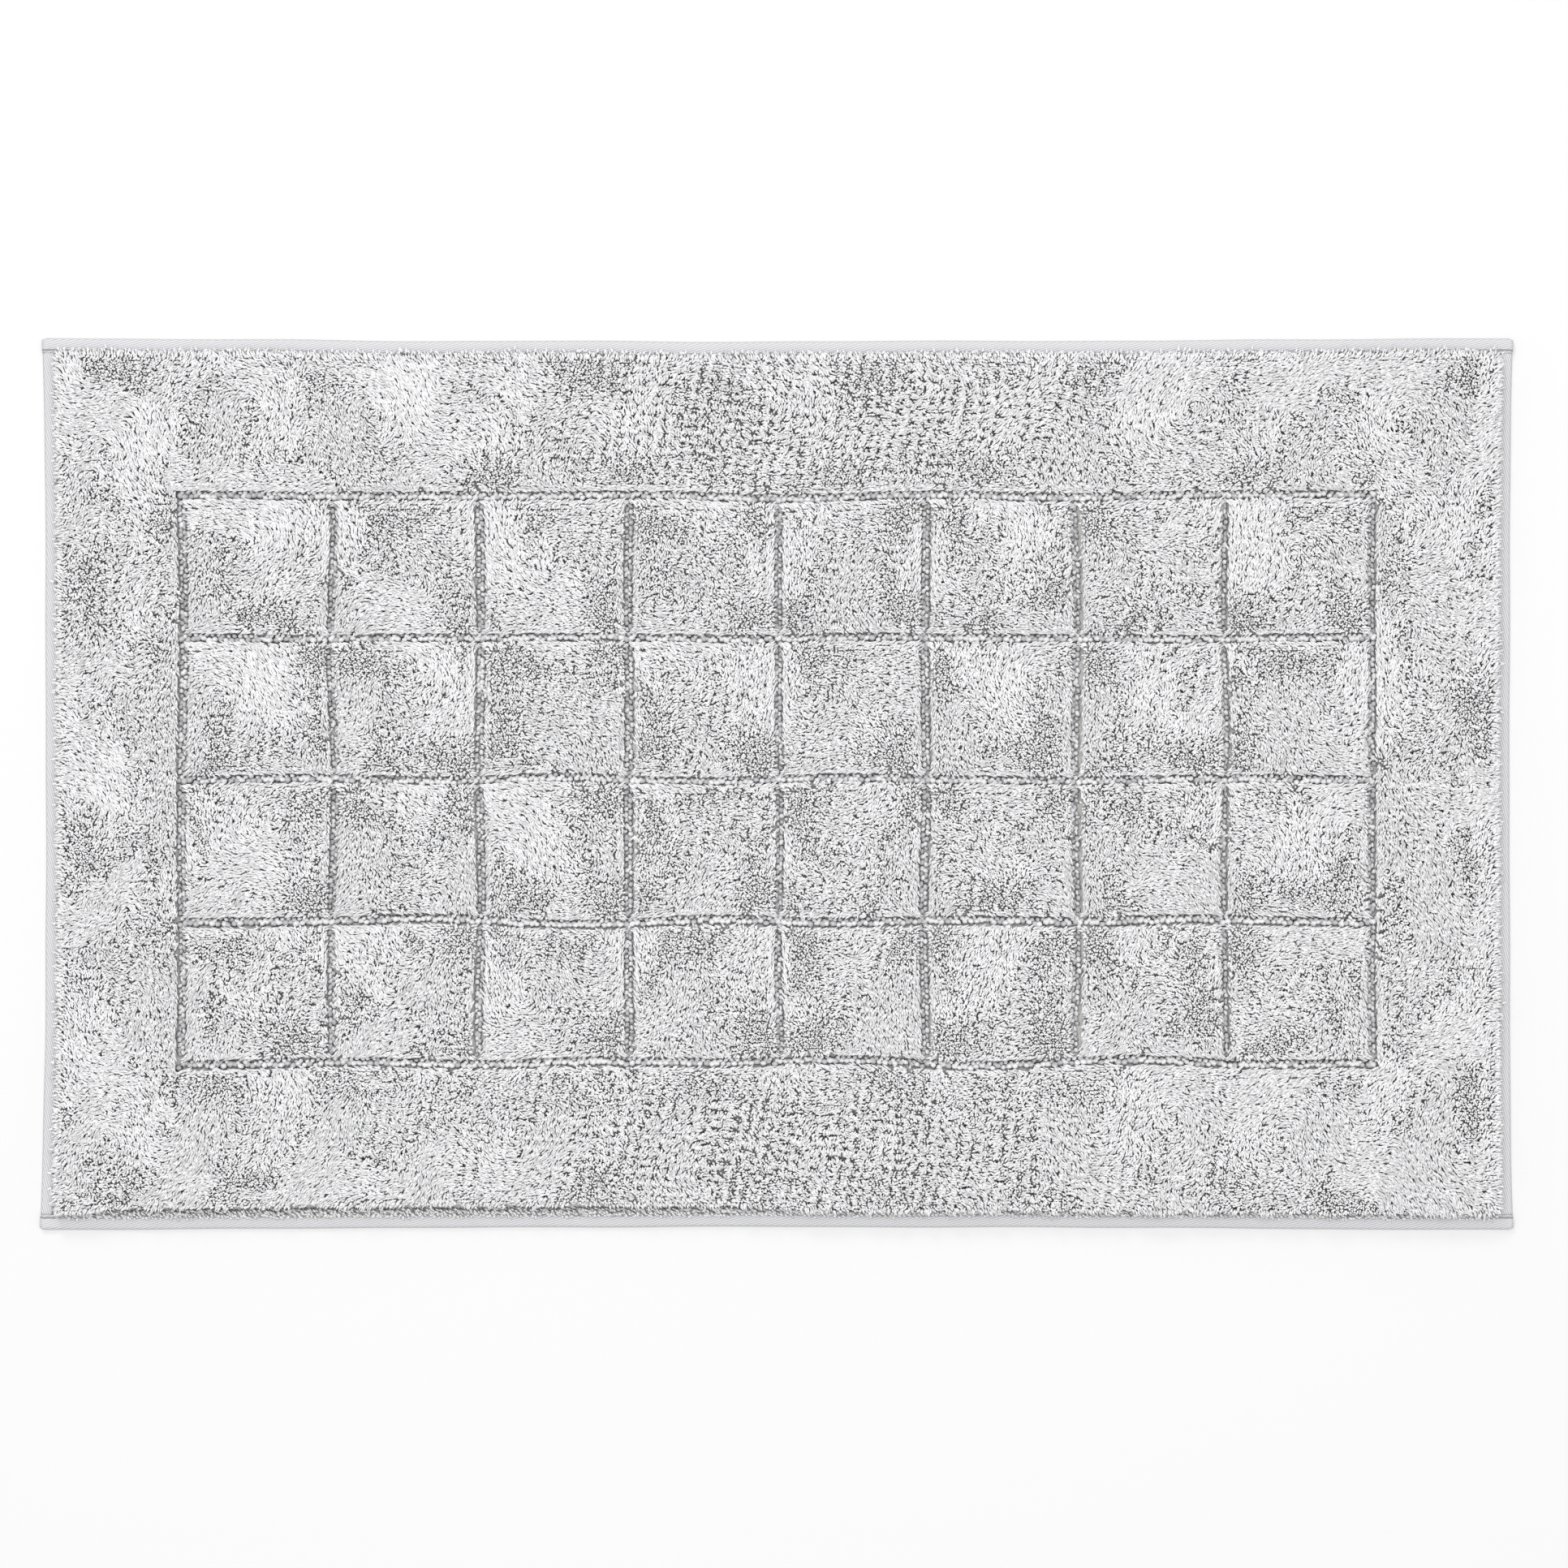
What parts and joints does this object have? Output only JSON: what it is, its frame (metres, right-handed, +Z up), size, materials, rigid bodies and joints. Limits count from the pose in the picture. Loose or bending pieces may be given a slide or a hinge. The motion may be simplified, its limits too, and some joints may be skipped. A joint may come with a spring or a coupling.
{
  "type": "bath mat",
  "caption": "Rectangular tufted cotton bath mat with square pads of cut pile set in a sunken grid of loops, a plain pile border and folded tape binding.",
  "frame": {"origin": "middle of the underside, on the floor", "axes": "+X along the long side, to the right as seen from the front edge; +Y across to the back edge; +Z up, out of the pile"},
  "size_m": [1, 0.605, 0.018],
  "materials": {
    "pile_yarn": "matte cut cotton yarn, off-white",
    "loop_yarn": "matte uncut cotton loops, off-white",
    "backing_cloth": "plain-woven cotton cloth, unbleached white",
    "binding_tape": "cotton twill tape, off-white with a faint lavender cast",
    "sewing_thread": "white polyester-cotton sewing thread",
    "latex_coat": "matte cream latex, lightly textured by the cloth"
  },
  "bodies": {
    "root": {"latex_coat": "latex_coat", "backing_cloth": "backing_cloth", "border_pile_front": "pile_yarn", "border_pile_back": "pile_yarn", "border_pile_left": "pile_yarn", "border_pile_right": "pile_yarn", "pile_pad_row1_column1": "pile_yarn", "pile_pad_row1_column2": "pile_yarn", "pile_pad_row1_column3": "pile_yarn", "pile_pad_row1_column4": "pile_yarn", "pile_pad_row1_column5": "pile_yarn", "pile_pad_row1_column6": "pile_yarn", "pile_pad_row1_column7": "pile_yarn", "pile_pad_row1_column8": "pile_yarn", "pile_pad_row2_column1": "pile_yarn", "pile_pad_row2_column2": "pile_yarn", "pile_pad_row2_column3": "pile_yarn", "pile_pad_row2_column4": "pile_yarn", "pile_pad_row2_column5": "pile_yarn", "pile_pad_row2_column6": "pile_yarn", "pile_pad_row2_column7": "pile_yarn", "pile_pad_row2_column8": "pile_yarn", "pile_pad_row3_column1": "pile_yarn", "pile_pad_row3_column2": "pile_yarn", "pile_pad_row3_column3": "pile_yarn", "pile_pad_row3_column4": "pile_yarn", "pile_pad_row3_column5": "pile_yarn", "pile_pad_row3_column6": "pile_yarn", "pile_pad_row3_column7": "pile_yarn", "pile_pad_row3_column8": "pile_yarn", "pile_pad_row4_column1": "pile_yarn", "pile_pad_row4_column2": "pile_yarn", "pile_pad_row4_column3": "pile_yarn", "pile_pad_row4_column4": "pile_yarn", "pile_pad_row4_column5": "pile_yarn", "pile_pad_row4_column6": "pile_yarn", "pile_pad_row4_column7": "pile_yarn", "pile_pad_row4_column8": "pile_yarn", "loop_row_lengthwise_1": "loop_yarn", "loop_row_lengthwise_2": "loop_yarn", "loop_row_lengthwise_3": "loop_yarn", "loop_row_lengthwise_4": "loop_yarn", "loop_row_lengthwise_5": "loop_yarn", "loop_row_crosswise_1": "loop_yarn", "loop_row_crosswise_2": "loop_yarn", "loop_row_crosswise_3": "loop_yarn", "loop_row_crosswise_4": "loop_yarn", "loop_row_crosswise_5": "loop_yarn", "loop_row_crosswise_6": "loop_yarn", "loop_row_crosswise_7": "loop_yarn", "loop_row_crosswise_8": "loop_yarn", "loop_row_crosswise_9": "loop_yarn", "binding_tape_front": "binding_tape", "binding_tape_right": "binding_tape", "binding_tape_back": "binding_tape", "binding_tape_left": "binding_tape", "seam_thread_front": "sewing_thread", "seam_thread_right": "sewing_thread", "seam_thread_back": "sewing_thread", "seam_thread_left": "sewing_thread"}
  },
  "joints": []
}
